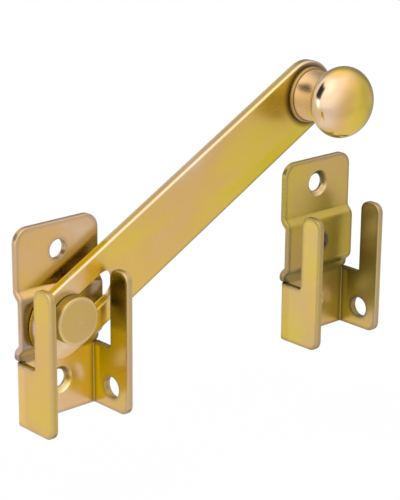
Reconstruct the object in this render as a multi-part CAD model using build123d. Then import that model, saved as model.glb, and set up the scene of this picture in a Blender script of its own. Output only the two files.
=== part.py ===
from build123d import *
import math
import os

# Throw-over gate bolt in plated steel, in millimetres.
# X runs along the closed bar, Y goes back into the mounting surface and Z is up.
# The origin is the middle of the pivot bracket's screw pattern, on its mounting plane.

# Stamping that the pivot bracket and the keep share
sheet = 2.5
plate_width = 35.0
plate_height = 70.0
plate_corner = 5.5
screw_spacing = 47.5
top_screw_inset = 10.0
rivet_inset = 33.0
joggle = 2.5
web_half_height = 8.3
joggle_bend = 2.2
wall_bend = 0.4
prong_width = 9.5
prong_rise = 15.3
prong_tip = 3.6
wall_corner = 4.0
slot_corner = 0.8
relief_corner = 2.0
seat_drop = 1.5
prong_clearance = 2.3
edge_break = 0.5

# Holes in the stamping
screw_hole = 7.0
countersink = 10.2
side_hole = 8.0
side_hole_from_front = 8.8
side_hole_from_bottom = 8.5
rivet_hole = 7.5

# Flat bar
bar_width = 25.0
bar_thickness = 4.0
bar_edge = 0.8
bar_gap = 0.2
tail_reach = 3.0
knob_reach = 128.0
bar_slot_width = 10.5
bar_slot_travel = 17.5
rest_tilt = 28.5

# Rivet
head_diameter = 17.0
head_thickness = 4.0
head_chamfer = 0.4
head_gap = 0.3
tail_diameter = 11.0
tail_recess = 0.5
shank_clearance = 0.2
tenon_clearance = 0.05
rivet_play = 0.1

# Knob
ball_diameter = 26.3
ball_depth = 19.6
ball_height = 17.0
flange_diameter = 20.6
flange_thickness = 1.8
flange_round = 0.5
neck_diameter = 19.2
neck_waist = 0.4
spigot_diameter = 8.0
spigot_flare = 1.0
spigot_clearance = 0.05

# Place of the keep, behind the knob's axis when the bar is level
keep_set_back = 2.0

# Levels that the pieces share
plate_top = screw_spacing / 2 + top_screw_inset
plate_bottom = plate_top - plate_height
rivet_z = plate_top - rivet_inset
web_front = -(sheet + joggle)
bar_back = web_front - bar_gap
bar_front = bar_back - bar_thickness
prong_back = bar_front - prong_clearance
wall_front = prong_back - prong_width
slot_floor = rivet_z - bar_width / 2 - seat_drop
prong_top = rivet_z + prong_rise
keep_x = knob_reach - keep_set_back
rivet_axis = Axis((0, 0, rivet_z), (0, -1, 0))


def plate():
    """Back plate above the walls: a strip with its middle pressed forward, its four corners rounded."""
    middle = -sheet / 2
    web_middle = middle - joggle
    web_end = web_half_height + joggle
    centre_line = FilletPolyline(
        (middle, plate_top),
        (middle, rivet_z + web_end),
        (web_middle, rivet_z + web_half_height),
        (web_middle, rivet_z - web_half_height),
        (middle, rivet_z - web_end),
        (middle, slot_floor),
        radius=joggle_bend,
    )
    strip = extrude(Plane.YZ * trace(centre_line, sheet), plate_width / 2, both=True)
    strip = fillet(strip.edges().filter_by(Axis.Y).group_by(Axis.Z)[-1], plate_corner)
    strip = fillet(strip.edges().filter_by(Axis.Y).group_by(Axis.Z)[0], relief_corner)
    return fillet(strip.edges().filter_by(Axis.X).group_by(Axis.Z)[-1], edge_break)


def walls():
    """Lower plate with its two walls folded forward, each one rising at the front as a prong."""
    outside = Pos(0, wall_front / 2) * Rectangle(plate_width, -wall_front)
    outside = fillet(outside.vertices().group_by(Axis.Y)[-1], wall_bend + sheet)
    inside = Pos(0, wall_front / 2 - sheet) * Rectangle(plate_width - 2 * sheet, -wall_front)
    inside = fillet(inside.vertices().group_by(Axis.Y)[-1], wall_bend)
    fold = Pos(0, 0, plate_bottom) * extrude(outside - inside, prong_top - plate_bottom)
    side_view = FilletPolyline(
        (0, plate_bottom),
        (wall_front, plate_bottom),
        (wall_front, prong_top),
        (prong_back, prong_top),
        (prong_back, slot_floor),
        (0, slot_floor),
        radius=[wall_corner, prong_tip, prong_tip, slot_corner],
    )
    outline = make_face(side_view + Line(side_view @ 1, side_view @ 0))
    folded = fold & extrude(Plane.YZ * outline, plate_width, both=True)
    rims = folded.edges().filter_by(Axis.X).group_by(Axis.Z)[0].group_by(SortBy.LENGTH)[-1]
    return fillet(rims, edge_break)


def hole(diameter, z, wide=None):
    """Drill through the plate at height z, opened to a cone at the front face where wide is given."""
    drill = Pos(0, 0, z) * Rot(90, 0, 0) * Cylinder(diameter / 2, 4 * (sheet + joggle))
    if wide:
        depth = (wide - diameter) / 2
        cone = Cone(diameter / 2, wide / 2, depth)
        drill += Pos(0, -sheet + depth / 2, z) * Rot(90, 0, 0) * cone
    return drill


def bracket(top_countersink=None):
    """The whole stamping, about its own screw pattern."""
    flat_width = plate_width - 2 * (wall_bend + sheet)
    join = Pos(0, -sheet / 2, slot_floor) * Box(flat_width, sheet, 4 * edge_break)
    body = plate() + join + walls()
    side_drill = Pos(
        plate_width / 2,
        wall_front + side_hole_from_front,
        plate_bottom + side_hole_from_bottom,
    ) * Rot(0, 90, 0) * Cylinder(side_hole / 2, 4 * sheet)
    body -= hole(screw_hole, screw_spacing / 2, top_countersink)
    body -= hole(screw_hole, -screw_spacing / 2, countersink)
    body -= hole(rivet_hole, rivet_z)
    return body - side_drill


def pivot_rivet():
    """Shouldered rivet: flat head, shoulder in the bar's slot, tenon in the web and a peened tail."""
    head_back = bar_front - head_gap
    head_front = head_back - head_thickness
    shoulder = web_front - rivet_play
    tail_front = rivet_play - joggle
    tail_back = -tail_recess
    head_radius = head_diameter / 2
    shank_radius = bar_slot_width / 2 - shank_clearance
    tenon_radius = rivet_hole / 2 - tenon_clearance
    tail_radius = tail_diameter / 2
    dome = (tail_back - tail_front) / 2
    outline = Polyline(
        (0, head_front),
        (head_radius - head_chamfer, head_front),
        (head_radius, head_front + head_chamfer),
        (head_radius, head_back),
        (shank_radius, head_back),
        (shank_radius, shoulder),
        (tenon_radius, shoulder),
        (tenon_radius, tail_front),
        (tail_radius, tail_front),
        (tail_radius, tail_front + dome),
        (tail_radius - dome, tail_back),
        (0, tail_back),
        close=True,
    )
    return revolve(Plane((0, 0, rivet_z)) * make_face(outline), rivet_axis)


def throw_bar():
    """Level flat bar with full-round ends, the rivet's slot and the knob's hole, flared at the back."""
    blank = Pos((knob_reach - tail_reach) / 2, 0) * SlotCenterToCenter(knob_reach + tail_reach, bar_width)
    slot = Pos(bar_slot_travel / 2, 0) * SlotCenterToCenter(bar_slot_travel, bar_slot_width)
    bar_plane = Plane((0, bar_back, rivet_z), x_dir=(1, 0, 0), z_dir=(0, -1, 0))
    bar = extrude(bar_plane * blank, bar_thickness)
    bar = fillet(bar.faces().filter_by(Axis.Y).edges(), bar_edge)
    bar -= extrude(bar_plane * slot, bar_thickness)
    return bar - spigot(spigot_diameter / 2)


def spigot(radius):
    """Knob's spigot through the bar, spread to a cone at the bar's back."""
    outline = Polyline(
        (0, bar_front),
        (radius, bar_front),
        (radius, bar_back - spigot_flare),
        (radius + spigot_flare, bar_back),
        (0, bar_back),
        close=True,
    )
    return Pos(knob_reach, 0, rivet_z) * revolve(make_face(outline), Axis.Y)


def knob():
    """Turned knob on the level bar: flange, waisted neck and flattened ball, with its spigot."""
    flange_radius = flange_diameter / 2
    neck_radius = neck_diameter / 2
    ball_radius = ball_diameter / 2
    meet = math.degrees(math.acos(neck_radius / ball_radius))
    ball_centre = (0, bar_front - ball_height)
    ball = EllipticalCenterArc(ball_centre, ball_radius, ball_depth / 2, -90, arc_size=90 + meet)
    neck_top = ball @ 1
    neck_foot = Vector(neck_radius, bar_front - flange_thickness)
    waist = Vector(neck_radius - neck_waist, (neck_top.Y + neck_foot.Y) / 2)
    neck = ThreePointArc(neck_top, waist, neck_foot)
    flange = FilletPolyline(
        neck_foot,
        (flange_radius, bar_front - flange_thickness),
        (flange_radius, bar_front),
        (0, bar_front),
        radius=[flange_round, flange_round],
    )
    outline = make_face(Curve() + [ball, neck, flange, Line(flange @ 1, ball @ 0)])
    turned = Pos(knob_reach, 0, rivet_z) * revolve(outline, Axis.Y)
    return turned + spigot(spigot_diameter / 2 - spigot_clearance)


parts = {
    "pivot_bracket": bracket(),
    "keep_bracket": Pos(keep_x, 0, 0) * bracket(countersink),
    "pivot_rivet": pivot_rivet(),
    "throw_bar": throw_bar().rotate(rivet_axis, rest_tilt),
    "knob": knob().rotate(rivet_axis, rest_tilt),
}

os.makedirs("parts", exist_ok=True)
for name, solid in parts.items():
    export_step(solid, f"parts/{name}.step")
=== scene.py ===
import math
import bpy
import numpy as np
from mathutils import Matrix, Vector


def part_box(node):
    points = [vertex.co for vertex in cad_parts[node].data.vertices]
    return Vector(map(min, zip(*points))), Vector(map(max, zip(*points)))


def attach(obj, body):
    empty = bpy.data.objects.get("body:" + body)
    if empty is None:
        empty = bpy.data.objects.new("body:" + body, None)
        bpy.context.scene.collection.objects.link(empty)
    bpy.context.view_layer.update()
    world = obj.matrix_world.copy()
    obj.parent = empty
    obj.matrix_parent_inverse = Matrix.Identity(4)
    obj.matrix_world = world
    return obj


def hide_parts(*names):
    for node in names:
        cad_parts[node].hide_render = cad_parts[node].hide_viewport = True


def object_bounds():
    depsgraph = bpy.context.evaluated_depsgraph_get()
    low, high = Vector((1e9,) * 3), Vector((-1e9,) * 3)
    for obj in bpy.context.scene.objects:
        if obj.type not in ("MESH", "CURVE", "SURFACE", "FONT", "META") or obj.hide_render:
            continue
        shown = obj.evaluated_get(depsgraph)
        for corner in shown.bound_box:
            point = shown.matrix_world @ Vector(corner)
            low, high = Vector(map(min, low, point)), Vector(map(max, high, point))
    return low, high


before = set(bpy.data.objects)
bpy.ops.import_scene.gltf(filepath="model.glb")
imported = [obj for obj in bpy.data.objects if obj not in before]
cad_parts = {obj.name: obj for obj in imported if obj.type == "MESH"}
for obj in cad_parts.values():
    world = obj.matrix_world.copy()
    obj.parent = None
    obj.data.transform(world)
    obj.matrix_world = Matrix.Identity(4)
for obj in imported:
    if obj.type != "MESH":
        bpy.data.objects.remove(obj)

cad_low, cad_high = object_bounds()


# Pivot bracket: one stamping of 2.5 mm mild steel, its middle pressed forward and its two walls folded up
# to guard the bar. It is zinc plated and dipped in a yellow passivate, which dries as a cloudy film that is
# rose where thin and yellow where thick, pools in the folds and is dull on the sheared edges. Shade is
# painted into its colour inside the fold, on the web behind the bar, in the holes and underneath, with
# painted highlights on the right-hand rims and the countersinks.

def add(tree, kind, inputs=None, **settings):
    """
    One shader node with its settings. Each input is a value, the socket that feeds it, or a function of the
    tree that gives one of them.
    """
    made = tree.nodes.new("ShaderNode" + kind)
    for name, value in settings.items():
        setattr(made, name, value)
    for name, value in (inputs or {}).items():
        if callable(value):
            value = value(tree)
        if isinstance(value, bpy.types.NodeSocket):
            tree.links.new(value, made.inputs[name])
        else:
            made.inputs[name].default_value = value
    return made


def new_group(name, inputs, outputs):
    """An empty node group with named sockets, what it is given by name, and the sockets for its results."""
    tree = bpy.data.node_groups.new(name, "ShaderNodeTree")
    for label, kind in inputs.items():
        tree.interface.new_socket(label, in_out="INPUT", socket_type="NodeSocket" + kind)
    for label, kind in outputs.items():
        tree.interface.new_socket(label, in_out="OUTPUT", socket_type="NodeSocket" + kind)
    return tree, tree.nodes.new("NodeGroupInput").outputs, tree.nodes.new("NodeGroupOutput").inputs


def combine(tree, operation, first, second):
    """A Math node's result."""
    return add(tree, "Math", {0: first, 1: second}, operation=operation).outputs["Value"]


def unsigned(tree, value):
    """A value without its sign."""
    return add(tree, "Math", {0: value}, operation="ABSOLUTE").outputs["Value"]


def ease(tree, value, low, high, start=0.0, stop=1.0):
    """Start where value is at low, stop where it is at high, and a smooth step between them."""
    step = add(tree, "MapRange", {
        "Value": value, "From Min": low, "From Max": high, "To Min": start, "To Max": stop,
    }, interpolation_type="SMOOTHSTEP")
    return step.outputs["Result"]


def blend_colours(tree, share, first, second, mode="MIX"):
    """A Mix node's colour: first where share is 0, second where it is 1."""
    mix = add(tree, "Mix", {0: share, 6: first, 7: second}, data_type="RGBA", blend_type=mode)
    return mix.outputs[2]


def colour_ramp(tree, value, stops):
    """A smooth colour ramp over value, through stops of (place, colour)."""
    ramp = add(tree, "ValToRGB", {"Fac": value})
    ramp.color_ramp.interpolation = "B_SPLINE"
    while len(ramp.color_ramp.elements) < len(stops):
        ramp.color_ramp.elements.new(0.5)
    for element, (place, colour) in zip(ramp.color_ramp.elements, stops):
        element.position = place
        element.color = colour
    return ramp.outputs["Color"]


def place_on(tree):
    """Places on a piece, in metres in the part's own frame."""
    return add(tree, "TexCoord").outputs["Object"]


def outward(tree):
    """The way a surface faces, in the part's own frame."""
    return add(tree, "TexCoord").outputs["Normal"]


def along(tree, vector, direction):
    """How far a vector goes in a direction."""
    return add(tree, "VectorMath", {0: vector, 1: direction}, operation="DOT_PRODUCT").outputs["Value"]


def passivate_film():
    """Group: the film's colour. It follows the thickness, which drifts in clouds about the level given."""
    tree, given, result = new_group(
        "passivate film",
        {"Place": "Vector", "Seed": "Float", "Cloud Scale": "Float", "Level": "Float", "Drift": "Float"},
        {"Color": "Color"},
    )
    clouds = add(tree, "TexNoise", {
        "Vector": given["Place"], "W": given["Seed"], "Scale": given["Cloud Scale"],
        "Detail": 4.0, "Roughness": 0.52, "Distortion": 0.5,
    }, noise_dimensions="4D")
    around = combine(tree, "SUBTRACT", clouds.outputs["Fac"], 0.5)
    thickness = combine(tree, "ADD", combine(tree, "MULTIPLY", around, given["Drift"]), given["Level"])
    colour = colour_ramp(tree, thickness, [
        (0.05, (0.78, 0.58, 0.40, 1)),
        (0.20, (0.74, 0.48, 0.25, 1)),
        (0.38, (0.73, 0.46, 0.165, 1)),
        (0.54, (0.74, 0.50, 0.13, 1)),
        (0.68, (0.75, 0.54, 0.09, 1)),
        (0.80, (0.70, 0.53, 0.06, 1)),
        (0.95, (0.72, 0.50, 0.01, 1)),
    ])
    tree.links.new(colour, result["Color"])
    return tree


def plating_grain():
    """Group: faint streaks along the place's own Z and a finer speckle, as a height and a roughness."""
    tree, given, result = new_group(
        "plating grain",
        {"Place": "Vector", "Smooth": "Float", "Rough": "Float"},
        {"Height": "Float", "Roughness": "Float"},
    )
    stretched = add(tree, "Mapping", {"Vector": given["Place"], "Scale": (1600.0, 1600.0, 60.0)})
    streaks = add(tree, "TexNoise", {"Vector": stretched.outputs["Vector"], "Scale": 1.0, "Detail": 2.0})
    speckle = add(tree, "TexNoise", {"Vector": given["Place"], "Scale": 1500.0, "Detail": 2.0})
    smears = add(tree, "TexNoise", {"Vector": given["Place"], "Scale": 90.0, "Detail": 3.0})
    streak_height = combine(tree, "MULTIPLY", streaks.outputs["Fac"], 0.5)
    height = combine(tree, "ADD", streak_height, speckle.outputs["Fac"])
    unevenness = combine(tree, "ADD", combine(tree, "MULTIPLY", streaks.outputs["Fac"], 0.3),
                         combine(tree, "MULTIPLY", smears.outputs["Fac"], 0.7))
    roughness = add(tree, "MapRange", {
        "Value": unevenness, "From Min": 0.35, "From Max": 0.65,
        "To Min": given["Smooth"], "To Max": given["Rough"],
    })
    tree.links.new(height, result["Height"])
    tree.links.new(roughness.outputs["Result"], result["Roughness"])
    return tree


def surroundings(name, labels, inside):
    """
    Group: a mask that rises from 0 to 1 as the open share of the space within Reach falls, from the first
    of the two labels to the second. inside measures the metal behind a surface, not the air before it.
    """
    tree, given, result = new_group(
        name, {"Reach": "Float", labels[0]: "Float", labels[1]: "Float"}, {"Mask": "Float"}
    )
    space = add(tree, "AmbientOcclusion", {"Distance": given["Reach"]},
                samples=6, inside=inside, only_local=True)
    tree.links.new(ease(tree, space.outputs["AO"], given[labels[0]], given[labels[1]]), result["Mask"])
    return tree


film_group = passivate_film()
grain_group = plating_grain()
fold_group = surroundings("sheltered fold", ("Open", "Shut"), inside=False)
edge_group = surroundings("thin edge", ("Thick", "Thin"), inside=True)


def passivated(name, seed, cloud_scale, drift, level, roughness, wear_and_highlight, tone, reflection_colour,
               clouds=place_on, grain=place_on):
    """
    Plated and passivated steel. level is the film's thickness from 0 to 1, drift how far it strays, and
    tone multiplies its colour. The grain varies between the two values of roughness. wear_and_highlight is
    how far the arrises are made pale, partly as handling and partly as a painted highlight, the creases get
    painted shade, and reflection_colour is the colour that other metal shows of the piece, a painted
    reflection. clouds and grain give the places that the film's clouds and the grain follow, and the grain
    runs along their Z.
    """
    material = bpy.data.materials.new(name)
    material.use_nodes = True
    tree = material.node_tree
    film = add(tree, "Group", {
        "Place": clouds, "Seed": seed, "Cloud Scale": cloud_scale, "Drift": drift, "Level": level,
    }, node_tree=film_group)
    plating = add(tree, "Group", {
        "Place": grain, "Smooth": roughness[0], "Rough": roughness[1],
    }, node_tree=grain_group)
    toned = blend_colours(tree, 1.0, film.outputs["Color"], tone, "MULTIPLY")
    # Painted highlight, partly real handling: the arrises are made pale.
    arris = add(tree, "Group", {"Reach": 0.0014, "Thick": 0.95, "Thin": 0.72}, node_tree=edge_group)
    arris_wear_and_highlight = (0.95, 0.80, 0.58, 1)
    with_arris_wear_and_highlight = blend_colours(tree, combine(tree, "MULTIPLY", arris.outputs["Mask"], wear_and_highlight), toned, arris_wear_and_highlight)
    # Painted shade: the creases are darkened towards a near-black brown.
    crease = add(tree, "Group", {"Reach": 0.0032, "Open": 0.90, "Shut": 0.52}, node_tree=fold_group)
    crease_shade = (0.10, 0.075, 0.03, 1)
    deepest_crease_shade = 0.85
    crease_shading = combine(tree, "MULTIPLY", crease.outputs["Mask"], deepest_crease_shade)
    with_crease_shade = blend_colours(tree, crease_shading, with_arris_wear_and_highlight, crease_shade)
    # Painted reflection: other metal shows the colour given for reflections, not the film.
    seen_in_metal = add(tree, "LightPath").outputs["Is Glossy Ray"]
    colour = blend_colours(tree, seen_in_metal, with_crease_shade, reflection_colour)
    round_over = add(tree, "Bevel", {"Radius": 0.0004}, samples=4)
    bump = add(tree, "Bump", {
        "Strength": 0.06, "Distance": 0.00002,
        "Height": plating.outputs["Height"], "Normal": round_over.outputs["Normal"],
    })
    shader = tree.nodes["Principled BSDF"]
    shader.inputs["Metallic"].default_value = 1.0
    tree.links.new(colour, shader.inputs["Base Color"])
    tree.links.new(plating.outputs["Roughness"], shader.inputs["Roughness"])
    tree.links.new(bump.outputs["Normal"], shader.inputs["Normal"])
    return material


def coat(node, material):
    """Gives a CAD piece this finish."""
    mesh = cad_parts[node].data
    mesh.materials.clear()
    mesh.materials.append(material)


pivot_low, pivot_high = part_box("pivot_bracket")
plate_front = -0.0025
web_front = -0.0050
slot_floor = -0.01325
foot_height = pivot_low.z
screw_height = 0.02375
rivet_height = 0.00075
cone_radius = 0.0051
rivet_hole_radius = 0.00375


def sheltered(tree):
    """How far a place is inside the fold, from 0 to 1."""
    fold = add(tree, "Group", {"Reach": 0.02, "Open": 0.95, "Shut": 0.66}, node_tree=fold_group)
    return fold.outputs["Mask"]


def drained_level(plate, wall, fold, foot):
    """
    A function of the tree that gives the film's level: one on the plate and web, one on the walls in front
    of them, one inside the fold, where the dip pools, and one inside it at the foot, where it runs off.
    """
    fade = 0.004

    def level(tree):
        place = add(tree, "SeparateXYZ", {"Vector": place_on}).outputs
        front = ease(tree, place["Z"], slot_floor - 0.00025, slot_floor + 0.00175,
                     plate_front - 0.0001, web_front - 0.0010)
        ahead_of_plate = ease(tree, combine(tree, "SUBTRACT", front, place["Y"]), 0.0, fade)
        sideways = unsigned(tree, along(tree, outward, (1, 0, 0)))
        folded = combine(tree, "MULTIPLY", ease(tree, sideways, 0.4, 0.95),
                         ease(tree, place["Z"], slot_floor + 0.00075, slot_floor - 0.00025))
        forward = combine(tree, "MAXIMUM", ahead_of_plate, folded)
        within = ease(tree, place["Z"], foot_height + 0.00025, foot_height + 0.00825, foot, fold)
        on_wall = ease(tree, sheltered, 0.0, 1.0, wall, within)
        return ease(tree, forward, 0.0, 1.0, plate, on_wall)
    return level


def cut_edge(tree):
    """1 on the sheared edges of the sheet and 0 on its faces, its back round the countersinks included."""
    thin = add(tree, "Group", {"Reach": 0.0023, "Thick": 0.80, "Thin": 0.60}, node_tree=edge_group)
    depth = along(tree, place_on, (0, 1, 0))
    off_back = ease(tree, along(tree, outward, (0, 1, 0)), 0.95, 0.70)
    counted = ease(tree, depth, plate_front - 0.0015, plate_front - 0.0005, 1.0, off_back)
    return combine(tree, "MULTIPLY", thin.outputs["Mask"], counted)


def rough_edges(face):
    """A function of the tree that gives a roughness: face on the faces, and more on the sheared edges."""
    edge = 0.5

    def roughness(tree):
        return ease(tree, cut_edge, 0.0, 1.0, face, edge)
    return roughness


def from_axis(tree, axis):
    """How far a place is from a line along Y through axis (x, z)."""
    offset = add(tree, "VectorMath", {0: place_on, 1: (axis[0], 0.0, axis[1])}, operation="SUBTRACT")
    flat = add(tree, "VectorMath", {0: offset.outputs["Vector"], 1: (1.0, 0.0, 1.0)}, operation="MULTIPLY")
    return add(tree, "VectorMath", {0: flat.outputs["Vector"]}, operation="LENGTH").outputs["Value"]


def countersunk(tree, middle):
    """1 on the lower halves of the cones that the screw heads sit in, and 0 elsewhere."""
    distance = combine(tree, "MINIMUM", from_axis(tree, (middle, screw_height)),
                       from_axis(tree, (middle, -screw_height)))
    to_front = along(tree, outward, (0, -1, 0))
    sloped = combine(tree, "MULTIPLY", ease(tree, to_front, 0.40, 0.55),
                     ease(tree, to_front, 0.95, 0.85))
    lower = ease(tree, along(tree, outward, (0, 0, 1)), 0.10, 0.40)
    within = ease(tree, distance, cone_radius + 0.0002, cone_radius)
    return combine(tree, "MULTIPLY", combine(tree, "MULTIPLY", sloped, lower), within)


def sheet_tone(middle, plate, wall, web, foot, back, inner,
               sheared, left_rim, right_rim, bored, cone, below):
    """
    A function of the tree that gives the tone: plate, wall and web on open faces, web being painted shade
    on the web behind the bar, and in the fold from foot up to back on the plate, darker on the keep as
    painted shade, and to inner on the walls, a painted shade. At cut edges it is sheared on the plate,
    left_rim and right_rim on the walls to the left and right of middle, right_rim a painted highlight, and
    bored in the holes, a painted shade. What faces down, and the strip of plate under the web, is
    multiplied by below, a painted shade. The lower halves of the countersinks have cone, a painted
    highlight.
    """
    def tone(tree):
        place = add(tree, "SeparateXYZ", {"Vector": place_on}).outputs
        # Painted shade inside the fold, darkest on the inner walls.
        enclosed = ease(tree, sheltered, 0.0, 0.75)
        forward = ease(tree, place["Y"], web_front - 0.0001, web_front - 0.0012)
        behind = combine(tree, "SUBTRACT", 1.0, forward)
        raised = ease(tree, place["Z"], foot_height + 0.00225, slot_floor + 0.00125)
        in_fold = blend_colours(tree, raised, foot, blend_colours(tree, forward, back, inner))
        on_sheet = blend_colours(tree, enclosed, blend_colours(tree, forward, plate, wall), in_fold)
        # Painted shade on the web, where it lies behind the bar.
        pressed = combine(tree, "MULTIPLY", behind,
                          ease(tree, place["Y"], web_front + 0.0010, web_front + 0.0001))
        at_web = combine(tree, "MULTIPLY", pressed,
                         ease(tree, place["Z"], slot_floor + 0.00125, slot_floor + 0.00425))
        on_face = blend_colours(tree, at_web, on_sheet, web)
        # Painted highlight: the rims right of the middle are paler than those to the left.
        on_right = ease(tree, place["X"], middle - 0.002, middle + 0.002)
        wall_rim = blend_colours(tree, on_right, left_rim, right_rim)
        # Painted shade in the holes.
        at_rivet = ease(tree, from_axis(tree, (middle, rivet_height)),
                        rivet_hole_radius + 0.00035, rivet_hole_radius + 0.00005)
        in_hole = ease(tree, combine(tree, "MULTIPLY", cut_edge, sheltered), 0.10, 0.40, at_rivet, 1.0)
        at_edge = blend_colours(tree, in_hole, blend_colours(tree, forward, sheared, wall_rim), bored)
        cut = combine(tree, "MAXIMUM", cut_edge, in_hole)
        lit = blend_colours(tree, cut, on_face, at_edge)
        # Painted shade under things: what faces down and the strip of plate under the web.
        overhung = combine(
            tree, "MULTIPLY", ease(tree, place["Z"], slot_floor + 0.00375, slot_floor + 0.00205),
            ease(tree, place["Z"], slot_floor - 0.00125, slot_floor + 0.00005, 0.0, behind),
        )
        downward = ease(tree, along(tree, outward, (0, 0, 1)), -0.15, -0.50)
        underneath = combine(tree, "MAXIMUM", overhung, downward)
        shaded = blend_colours(tree, underneath, lit, below, "MULTIPLY")
        # Painted highlight on the lower halves of the countersinks.
        return blend_colours(tree, countersunk(tree, middle), shaded, cone)
    return tone


coat("pivot_bracket", passivated(
    "passivated_sheet", seed=3.0, cloud_scale=38.0, drift=1.2,
    level=drained_level(plate=0.29, wall=0.54, fold=1.30, foot=0.15),
    roughness=(rough_edges(0.20), rough_edges(0.27)), wear_and_highlight=0.25, reflection_colour=(0.84, 0.70, 0.05, 1),
    tone=sheet_tone(
        middle=(pivot_low.x + pivot_high.x) / 2,
        plate=(1.00, 1.00, 1.06, 1), wall=(0.92, 0.90, 0.97, 1), web=(0.54, 0.56, 0.90, 1),
        foot=(0.97, 0.95, 0.85, 1), back=(1.03, 1.02, 0.95, 1), inner=(0.52, 0.51, 0.12, 1),
        sheared=(0.60, 0.58, 1.00, 1), left_rim=(0.61, 0.57, 0.85, 1), right_rim=(0.64, 0.65, 1.60, 1),
        bored=(0.40, 0.35, 0.32, 1), cone=(1.50, 1.62, 1.90, 1), below=(0.50, 0.48, 0.46, 1),
    ),
))


# Keep: the same stamping from the same press, screwed to the post, with an empty rivet hole and both screw
# holes countersunk. It came from another batch of the dip, which left it more olive, and it is painted
# darker than the pivot bracket, a painted shade, nearly black in its holes.

keep_low, keep_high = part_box("keep_bracket")
coat("keep_bracket", passivated(
    "passivated_keep", seed=6.0, cloud_scale=42.0, drift=1.15, level=0.51,
    roughness=(rough_edges(0.28), rough_edges(0.36)), wear_and_highlight=0.08, reflection_colour=(0.42, 0.41, 0.18, 1),
    tone=sheet_tone(
        middle=(keep_low.x + keep_high.x) / 2,
        plate=(0.90, 0.93, 1.00, 1), wall=(0.96, 1.02, 1.20, 1), web=(0.68, 0.69, 0.56, 1),
        foot=(0.90, 0.83, 0.54, 1), back=(0.58, 0.59, 0.52, 1), inner=(0.25, 0.23, 0.10, 1),
        sheared=(0.42, 0.44, 0.86, 1), left_rim=(0.48, 0.51, 0.75, 1), right_rim=(0.54, 0.59, 1.35, 1),
        bored=(0.12, 0.11, 0.12, 1), cone=(1.00, 1.10, 2.00, 1), below=(0.68, 0.70, 0.62, 1),
    ),
))


# Throw bar: 25 x 4 mm drawn flat bar with full-round ends, slotted for the rivet. The drawing lines run
# along it, and the film goes from rose at the tail through yellow to tan and back to yellow near the knob.
# Its narrow sides are darker, the tail, the lower edge and a ring round the knob's flange are painted
# shade, and its upper arrises are made pale, partly by wear and partly as a painted highlight.

rest_slope = math.radians(28.5)
bar_way = Vector((math.cos(rest_slope), 0.0, math.sin(rest_slope)))
bar_rise = Vector((-math.sin(rest_slope), 0.0, math.cos(rest_slope)))
bar_low, bar_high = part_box("throw_bar")
bar_front = bar_low.y
bar_back = bar_high.y
bar_start = -0.0155
bar_end = 0.1405
bar_half_width = 0.0125
bar_bottom = rivet_height * math.cos(rest_slope) - bar_half_width
knob_low, knob_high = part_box("knob")
knob_axis = ((knob_low.x + knob_high.x) / 2, (knob_low.z + knob_high.z) / 2)
flange_radius = 0.0103


def bar_grain(tree):
    """Places on the bar, turned so that Z runs along it at the slope it rests at."""
    return add(tree, "Mapping", {
        "Vector": place_on, "Rotation": (0, rest_slope - math.pi / 2, 0),
    }).outputs["Vector"]


def bar_clouds(tree):
    """The same places, shortened along the bar, so that clouds come out long."""
    shortened = 0.45
    return add(tree, "Mapping", {"Vector": bar_grain, "Scale": (1.0, 1.0, shortened)}).outputs["Vector"]


def bar_level(tree):
    """The film's level: a ramp along the bar, and a little more towards the lower edge, as it drained."""
    level_per_metre = -5.0
    share = add(tree, "MapRange", {
        "Value": along(tree, place_on, bar_way), "From Min": bar_start, "From Max": bar_end,
    }).outputs["Result"]
    lengthwise = colour_ramp(tree, share, [(place, (level, level, level, 1)) for place, level in [
        (0.00, 0.12), (0.12, 0.10), (0.28, 0.66), (0.42, 0.38),
        (0.54, 0.38), (0.68, 0.58), (0.84, 0.74), (0.95, 0.20),
    ]])
    drained = combine(tree, "MULTIPLY", along(tree, place_on, bar_rise), level_per_metre)
    return combine(tree, "ADD", lengthwise, drained)


def facing(tree):
    """How far a surface faces to the front or the back, from 0 to 1."""
    return unsigned(tree, along(tree, outward, (0, 1, 0)))


def bar_tone(tree):
    """
    Darker on the narrow sides, and most at the tail, which is painted shade in the gap by the left prong;
    painted shade along the lower edge, and a near-black ring round the knob's flange, a painted contact
    shadow.
    """
    ring_width = 0.0030
    narrow = ease(tree, facing, 0.45, 0.15)
    # Painted shade on the tail, where it sits in the gap by the left prong.
    at_tail = ease(tree, along(tree, place_on, bar_way), bar_start + 0.0095, bar_start + 0.0055)
    side = blend_colours(tree, at_tail, (0.70, 0.69, 0.66, 1), (0.48, 0.47, 0.95, 1))
    sides = blend_colours(tree, narrow, (1.05, 1.05, 1.0, 1), side)
    # Painted shade along the lower edge.
    lower_edge = ease(tree, along(tree, place_on, bar_rise), bar_bottom + 0.00164, bar_bottom + 0.00024)
    shaded = blend_colours(tree, lower_edge, sides, (0.55, 0.60, 0.95, 1), "MULTIPLY")
    depth = along(tree, place_on, (0, 1, 0))
    # Painted contact shadow in a ring round the knob's flange.
    near_flange = ease(tree, from_axis(tree, knob_axis), flange_radius + ring_width, flange_radius)
    ring = combine(tree, "MULTIPLY", near_flange, ease(tree, depth, bar_front + 0.0012, bar_front + 0.0004))
    return blend_colours(tree, ring, shaded, (0.16, 0.15, 0.17, 1))


def bar_wear_and_highlight(tree):
    """How far its arrises are made pale, partly by handling and partly as a painted highlight: only the
    upper ones, which face the light.
    """
    return ease(tree, along(tree, outward, bar_rise), 0.05, 0.35)


def bar_reflection_colour(tree):
    """Its painted reflection, what other metal shows of it: pale in the knob, and dark olive in the pivot
    bracket.
    """
    near_knob = ease(tree, along(tree, place_on, bar_way), 0.030, 0.045)
    return blend_colours(tree, near_knob, (0.44, 0.36, 0.09, 1), (1.00, 0.93, 0.75, 1))


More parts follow.
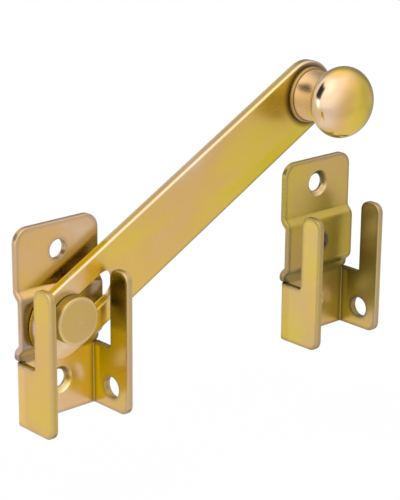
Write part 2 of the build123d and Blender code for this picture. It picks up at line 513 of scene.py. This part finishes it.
coat("throw_bar", passivated(
    "passivated_bar", seed=8.0, cloud_scale=55.0, drift=1.2, level=bar_level, roughness=(0.24, 0.32),
    wear_and_highlight=bar_wear_and_highlight, tone=bar_tone, reflection_colour=bar_reflection_colour, clouds=bar_clouds, grain=bar_grain,
))


# Rivet: a shouldered rivet turned from round steel, flat headed and rounded at the rim, that holds the bar
# by its slot. Its tenon goes through the web and is peened over behind it. The plating is olive, with a few
# scuffs at the middle of the head, and shade is painted from the head's back to the web.

def turned(name, profile, axis_place, steps=144):
    """
    Surface of revolution about the line along Y through axis_place (x, z): each point (r, y) of the profile
    goes round as (x + r cos a, y, z + r sin a). The first and last points lie on the axis, as closed poles.
    The UV map turning holds the share of a turn and the length along the profile.
    """
    radius, depth = profile[1:-1].T
    angle = np.linspace(0, 2 * np.pi, steps, endpoint=False) + np.pi / 2
    rings = np.stack(np.broadcast_arrays(
        axis_place[0] + radius[:, None] * np.cos(angle), depth[:, None],
        axis_place[1] + radius[:, None] * np.sin(angle)), axis=-1).reshape(-1, 3)
    poles = [[axis_place[0], profile[end, 1], axis_place[1]] for end in (0, -1)]
    vertices = np.vstack([rings, poles])
    count = len(radius)
    column = np.arange(steps)
    after = (column + 1) % steps
    row = steps * np.arange(count - 1)[:, None]
    corners = [row + column, row + steps + column, row + steps + after, row + after]
    walls = np.stack(corners, -1).reshape(-1, 4)
    front = np.stack([np.full(steps, len(rings)), column, after], -1)
    last = steps * (count - 1)
    back = np.stack([np.full(steps, len(rings) + 1), last + after, last + column], -1)
    mesh = bpy.data.meshes.new(name)
    mesh.from_pydata(vertices.tolist(), [], walls.tolist() + front.tolist() + back.tolist())
    length = np.concatenate([[0], np.cumsum(np.hypot(*np.diff(profile, axis=0).T))])
    share = column / steps
    next_share = (column + 1) / steps
    low, high = length[1:-2, None], length[2:-1, None]
    wall_uv = np.stack([np.stack(np.broadcast_arrays(u, v), -1) for u, v in (
        (share, low), (share, high), (next_share, high), (next_share, low))], axis=2)
    start, first_ring, last_ring, stop = (np.full(steps, length[point]) for point in (0, 1, -2, -1))
    front_uv = np.stack([share, start, share, first_ring, next_share, first_ring], -1)
    back_uv = np.stack([share, stop, next_share, last_ring, share, last_ring], -1)
    uv = np.concatenate([wall_uv.ravel(), front_uv.ravel(), back_uv.ravel()])
    mesh.uv_layers.new(name="turning").data.foreach_set("uv", uv)
    mesh.shade_smooth()
    mesh.set_sharp_from_angle(angle=math.radians(40))
    piece = bpy.data.objects.new(name, mesh)
    bpy.context.scene.collection.objects.link(piece)
    return piece


def rounding(centre, radius, start, stop, points=10):
    """Points of an arc in the profile: centre + radius (cos t, sin t) for t from start to stop degrees."""
    t = np.radians(np.linspace(start, stop, points))
    return np.column_stack([centre[0] + radius * np.cos(t), centre[1] + radius * np.sin(t)])


def turning_grain(tree):
    """Places on a turned piece, with Z round it, so that the grain makes rings."""
    turn_length = 0.01
    turning = add(tree, "UVMap", uv_map="turning").outputs["UV"]
    parts = add(tree, "SeparateXYZ", {"Vector": turning}).outputs
    around = combine(tree, "MULTIPLY", parts["X"], turn_length)
    return add(tree, "CombineXYZ", {"X": parts["Y"], "Z": around}).outputs["Vector"]


rivet_low, rivet_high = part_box("pivot_rivet")
head_radius = (rivet_high.x - rivet_low.x) / 2
head_front = rivet_low.y
head_back = bar_front - 0.0003
head_round = 0.0004
shank_radius = 0.00505
shoulder = bar_back + 0.0001
tenon_radius = 0.0037
tail_front = -0.0024
tail_back = rivet_high.y
tail_radius = 0.0055
tail_round = (tail_back - tail_front) / 2
rivet_profile = np.vstack([
    [(0, head_front)],
    np.column_stack([np.linspace(0.1, 0.9, 9) * head_radius, np.full(9, head_front)]),
    rounding((head_radius - head_round, head_front + head_round), head_round, -90, 0),
    [(head_radius, head_back), (shank_radius, head_back), (shank_radius, shoulder)],
    [(tenon_radius, shoulder), (tenon_radius, tail_front), (tail_radius, tail_front)],
    rounding((tail_radius - tail_round, tail_back - tail_round), tail_round, 0, 90),
    [(0, tail_back)],
])
rivet_axis = ((rivet_low.x + rivet_high.x) / 2, (rivet_low.z + rivet_high.z) / 2)
rivet = turned("turned_rivet", rivet_profile, rivet_axis)


def rivet_tone(tree):
    """Olive, with pale scuffs at the middle of the head, and painted shade from the head's back to the web.
    """
    scuff_turn = math.radians(20)
    scuff_way = add(tree, "Mapping", {
        "Vector": place_on, "Rotation": (0, scuff_turn, 0), "Scale": (300.0, 300.0, 2200.0),
    })
    scuffs = add(tree, "TexNoise", {"Vector": scuff_way.outputs["Vector"], "Scale": 1.0, "Detail": 2.0})
    at_middle = ease(tree, from_axis(tree, rivet_axis), 0.0030, 0.0012)
    scuffed = combine(tree, "MULTIPLY", ease(tree, scuffs.outputs["Fac"], 0.56, 0.68), at_middle)
    on_head = blend_colours(tree, scuffed, (0.84, 0.87, 0.95, 1), (1.05, 1.12, 1.6, 1))
    depth = along(tree, place_on, (0, 1, 0))
    # Painted shade between the head's back and the web.
    behind_head = ease(tree, depth, head_back - 0.0012, head_back)
    shaded_behind_head = blend_colours(tree, behind_head, on_head, (0.45, 0.42, 0.5, 1))
    at_tail = ease(tree, depth, tail_front - 0.0005, tail_front)
    return blend_colours(tree, at_tail, shaded_behind_head, (0.84, 0.86, 0.9, 1))


rivet.data.materials.append(passivated(
    "passivated_rivet", seed=1.0, cloud_scale=60.0, drift=0.4, level=0.46, roughness=(0.28, 0.34),
    wear_and_highlight=0.4, tone=rivet_tone, reflection_colour=(0.45, 0.37, 0.15, 1), grain=turning_grain,
))
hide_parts("pivot_rivet")
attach(rivet, "rivet")


# Knob: turned from round bar and polished before plating, with a thin flange, a waisted neck and a
# flattened ball. Its spigot goes through the bar's end and is spread behind it. The film is pale rose on
# the ball's side towards the upper left and yellow on the other, which paints its light and shade, and
# pooled behind its lower half. The flange is painted in shade, darkest where it meets the bar.

ball_radius = 0.01315
ball_half_depth = 0.0098
ball_y = knob_low.y + ball_half_depth
neck_radius = 0.0096
neck_waist = 0.0004
flange_thickness = 0.0018
flange_round = 0.0005
spigot_radius = 0.00395
spigot_flare = 0.001
neck_angle = math.acos(neck_radius / ball_radius)
ball_angle = np.linspace(-np.pi / 2, neck_angle, 90)
ball_profile = np.column_stack([
    ball_radius * np.cos(ball_angle), ball_y + ball_half_depth * np.sin(ball_angle),
])
ball_profile[0, 0] = 0
neck_top = float(ball_profile[-1, 1])
flange_front = bar_front - flange_thickness
neck_share = np.linspace(-1, 1, 20)[1:]
neck_profile = np.column_stack([
    neck_radius - neck_waist * (1 - neck_share ** 2),
    (neck_top + flange_front) / 2 + neck_share * (flange_front - neck_top) / 2,
])
flange_middle = flange_radius - flange_round
knob_profile = np.vstack([
    ball_profile,
    neck_profile,
    rounding((flange_middle, flange_front + flange_round), flange_round, -90, 0),
    rounding((flange_middle, bar_front - flange_round), flange_round, 0, 90),
    [(spigot_radius, bar_front), (spigot_radius, bar_back - spigot_flare)],
    [(spigot_radius + spigot_flare, bar_back), (0, bar_back)],
])
knob = turned("turned_knob", knob_profile, knob_axis, steps=192)


def knob_level(tree):
    """
    The film's level: rising across the ball away from the upper left, so that the lit side is a pale
    painted highlight and the far side a deeper painted shade, and rising to its top and bottom, pooled
    behind its lower half, thin on the neck and thicker on the flange.
    """
    shaded_side = (0.72, -0.65, -0.24)
    rose_height = 0.0015
    pool_level, neck_level, flange_level = 0.95, 0.24, 0.45
    offset = add(tree, "VectorMath", {
        0: place_on, 1: (knob_axis[0], ball_y, knob_axis[1]),
    }, operation="SUBTRACT").outputs["Vector"]
    depth = along(tree, place_on, (0, 1, 0))
    # Painted light and shade: pale film on the lit side of the ball, deeper on the far side.
    across = ease(tree, along(tree, offset, shaded_side), -0.0055, 0.0065, 0.05, 0.70)
    height = combine(tree, "SUBTRACT", along(tree, offset, (0, 0, 1)), rose_height)
    at_rim = ease(tree, unsigned(tree, height), 0.0075, 0.0118, 0.0, 0.64)
    on_ball = combine(tree, "MAXIMUM", across, at_rim)
    behind_ball = ease(tree, depth, neck_top - 0.001, neck_top + 0.0005, on_ball, neck_level)
    overhung = combine(tree, "MULTIPLY", ease(tree, depth, ball_y + 0.0005, ball_y + 0.0035),
                       ease(tree, depth, neck_top + 0.0042, neck_top + 0.0018))
    pool = combine(tree, "MULTIPLY", overhung, pool_level)
    pooled = ease(tree, height, -0.0010, -0.0085, 0.0, pool)
    in_front = combine(tree, "MAXIMUM", behind_ball, pooled)
    return ease(tree, depth, flange_front - 0.0002, flange_front + 0.0002, in_front, flange_level)


def knob_tone(tree):
    """Unchanged on the ball and neck, darker on the flange and spigot as painted shade, and nearly black
    where the flange meets the bar, a painted contact shadow.
    """
    depth = along(tree, place_on, (0, 1, 0))
    on_flange = ease(tree, depth, flange_front - 0.0004, flange_front + 0.0002)
    at_bar = combine(tree, "MULTIPLY", ease(tree, depth, flange_front + 0.0005, flange_front + 0.0014),
                     ease(tree, depth, bar_back - 0.0005, bar_front + 0.0005))
    # Painted shade on the flange, and a painted contact shadow where it meets the bar.
    flange_shade = blend_colours(tree, at_bar, (0.62, 0.62, 0.66, 1), (0.16, 0.14, 0.12, 1))
    return blend_colours(tree, on_flange, (1.0, 1.0, 1.0, 1), flange_shade)


def polish(on_ball, on_neck):
    """A function of the tree that gives a roughness: one on the ball and one behind it."""
    def roughness(tree):
        depth = along(tree, place_on, (0, 1, 0))
        return ease(tree, depth, neck_top - 0.001, neck_top + 0.001, on_ball, on_neck)
    return roughness


knob.data.materials.append(passivated(
    "passivated_knob", seed=5.0, cloud_scale=60.0, drift=0.3, level=knob_level,
    roughness=(polish(on_ball=0.10, on_neck=0.24), polish(on_ball=0.14, on_neck=0.32)),
    wear_and_highlight=0.0, tone=knob_tone, reflection_colour=(0.50, 0.41, 0.13, 1), grain=turning_grain,
))
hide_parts("knob")
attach(knob, "bar")


# Studio: a pale floor under the bolt, which glows white to the camera and, in metal, with a painted
# brightness that dims to the right and behind the bolt, and a white cloth tent round it, bright at the
# upper left, dim behind and to the right, with a slit at the back left. A camera with a long lens looks
# down from the left.

floor_mesh = bpy.data.meshes.new("floor")
floor_half = 4.0
floor_drop = 0.03
floor_z = cad_low.z - floor_drop
floor_mesh.from_pydata(
    [(-floor_half, -floor_half, floor_z), (floor_half, -floor_half, floor_z),
     (floor_half, floor_half, floor_z), (-floor_half, floor_half, floor_z)], [], [(0, 1, 2, 3)],
)
floor = bpy.data.objects.new("floor", floor_mesh)
bpy.context.scene.collection.objects.link(floor)


def seen_directly(tree):
    """1 where the camera looks, straight, in a mirror or through glass, and 0 where a surface is lit."""
    path = add(tree, "LightPath").outputs
    seen = combine(tree, "MAXIMUM", path["Is Camera Ray"], path["Is Glossy Ray"])
    return combine(tree, "MAXIMUM", seen, path["Is Transmission Ray"])


def white_to_camera(tree, reflected):
    """White where the camera looks straight at it, and the brightness given where metal mirrors it."""
    path = add(tree, "LightPath").outputs
    mix = add(tree, "Mix", {0: path["Is Camera Ray"], 2: reflected, 3: 1.0}, data_type="FLOAT")
    return mix.outputs[0]


def panel(tree, way, toward, inner, outer, strength):
    """A soft panel of the tent: strength where way is within inner degrees of toward, nothing at outer."""
    nearness = along(tree, way, Vector(toward).normalized())
    return ease(tree, nearness, math.cos(math.radians(outer)), math.cos(math.radians(inner)), 0.0, strength)


def slit(tree, way, toward, half_width, bottom, top, soft):
    """An upright gap in the tent: 1 where way is within half_width of toward (x, y), from bottom to top."""
    middle = Vector((toward[0], toward[1], 0.0)).normalized()
    sideways = unsigned(tree, along(tree, way, (middle.y, -middle.x, 0.0)))
    height = along(tree, way, (0, 0, 1))
    across = combine(tree, "MULTIPLY", ease(tree, sideways, half_width + soft, half_width),
                     ease(tree, along(tree, way, middle), 0.0, 0.2))
    upright = combine(tree, "MULTIPLY", ease(tree, height, bottom, bottom + soft),
                      ease(tree, height, top, top - soft))
    return combine(tree, "MULTIPLY", across, upright)


def tent_brightness(tree, way):
    """How bright the tent is towards way, as metal mirrors it."""
    in_slit = 0.03
    brightness = 0.82
    for toward, inner, outer, strength in [
        ((-0.60, 0.0, 0.80), 30, 95, 0.55),
        ((-0.60, 0.0, 0.80), 5, 36, 0.35),
        ((-0.80, 0.60, 0.0), 5, 11, 1.5),
        ((0.97, -0.20, 0.10), 10, 45, -0.16),
        ((0.45, -0.45, 0.75), 10, 42, 0.14),
        ((0.67, 0.72, 0.15), 15, 60, -0.45),
    ]:
        brightness = combine(tree, "ADD", brightness, panel(tree, way, toward, inner, outer, strength))
    gap = slit(tree, way, toward=(-0.707, 0.707), half_width=0.24, bottom=0.02, top=0.78, soft=0.20)
    return combine(tree, "MULTIPLY", brightness, ease(tree, gap, 0.0, 1.0, 1.0, in_slit))


floor_paint = bpy.data.materials.new("floor_paint")
floor_paint.use_nodes = True
paint_tree = floor_paint.node_tree
paint_tree.nodes.remove(paint_tree.nodes["Principled BSDF"])
matt = add(paint_tree, "BsdfDiffuse", {"Color": (0.9, 0.9, 0.9, 1)})
view_line = Vector((0.67, 0.74, 0.0))
own_white = 0.95
# Painted shade in reflections: the floor's glow seen in metal dims to the right, towards the camera and
# behind the bolt.
to_right = ease(paint_tree, along(paint_tree, place_on, (1, 0, 0)), -0.20, 0.40, 1.06, 0.82)
near_side = ease(paint_tree, along(paint_tree, place_on, view_line), -0.16, -0.02, 0.84, 1.0)
far_side = ease(paint_tree, along(paint_tree, place_on, view_line), 0.07, 0.35, 1.0, 0.50)
close_by = combine(paint_tree, "MULTIPLY", to_right, combine(paint_tree, "MULTIPLY", near_side, far_side))
floor_way = add(paint_tree, "VectorMath", {0: place_on}, operation="NORMALIZE").outputs["Vector"]
distance = add(paint_tree, "VectorMath", {0: place_on}, operation="LENGTH").outputs["Value"]
horizon = tent_brightness(paint_tree, floor_way)
mirrored = ease(paint_tree, distance, 0.28, 0.80, close_by, horizon)
white = add(paint_tree, "Emission", {
    "Color": (1, 1, 1, 1), "Strength": white_to_camera(paint_tree, mirrored),
})
floor_mix = add(paint_tree, "MixShader", {
    0: combine(paint_tree, "MULTIPLY", seen_directly(paint_tree), own_white),
    1: matt.outputs["BSDF"], 2: white.outputs["Emission"],
})
paint_tree.links.new(floor_mix.outputs["Shader"], paint_tree.nodes["Material Output"].inputs["Surface"])
floor_mesh.materials.append(floor_paint)

tent = bpy.data.worlds.new("tent")
bpy.context.scene.world = tent
tent.use_nodes = True
tent_tree = tent.node_tree
sky_way = add(tent_tree, "TexCoord").outputs["Generated"]
tent_light = tent_tree.nodes["Background"]
tent_light.inputs["Color"].default_value = (1, 1, 1, 1)
tent_strength = white_to_camera(tent_tree, tent_brightness(tent_tree, sky_way))
tent_tree.links.new(tent_strength, tent_light.inputs["Strength"])

camera_place = (-0.33611, -0.44278, 0.20339)
yaw = math.radians(42.33)
pitch = math.radians(18.02)
roll = math.radians(0.50)
ahead = np.array([math.sin(yaw) * math.cos(pitch), math.cos(yaw) * math.cos(pitch), -math.sin(pitch)])
horizontal = np.array([math.cos(yaw), -math.sin(yaw), 0.0])
above = np.cross(horizontal, ahead)
right = math.cos(roll) * horizontal + math.sin(roll) * above
up = math.cos(roll) * above - math.sin(roll) * horizontal
lens = bpy.data.cameras.new("camera")
lens.sensor_width = 36.0
lens.lens = 123.82
lens.clip_start = 0.01
camera = bpy.data.objects.new("camera", lens)
bpy.context.scene.collection.objects.link(camera)
turn = Matrix(np.column_stack([right, up, -ahead]).tolist()).to_4x4()
camera.matrix_world = Matrix.Translation(camera_place) @ turn
bpy.context.scene.camera = camera

bpy.context.scene.view_settings.view_transform = "Standard"
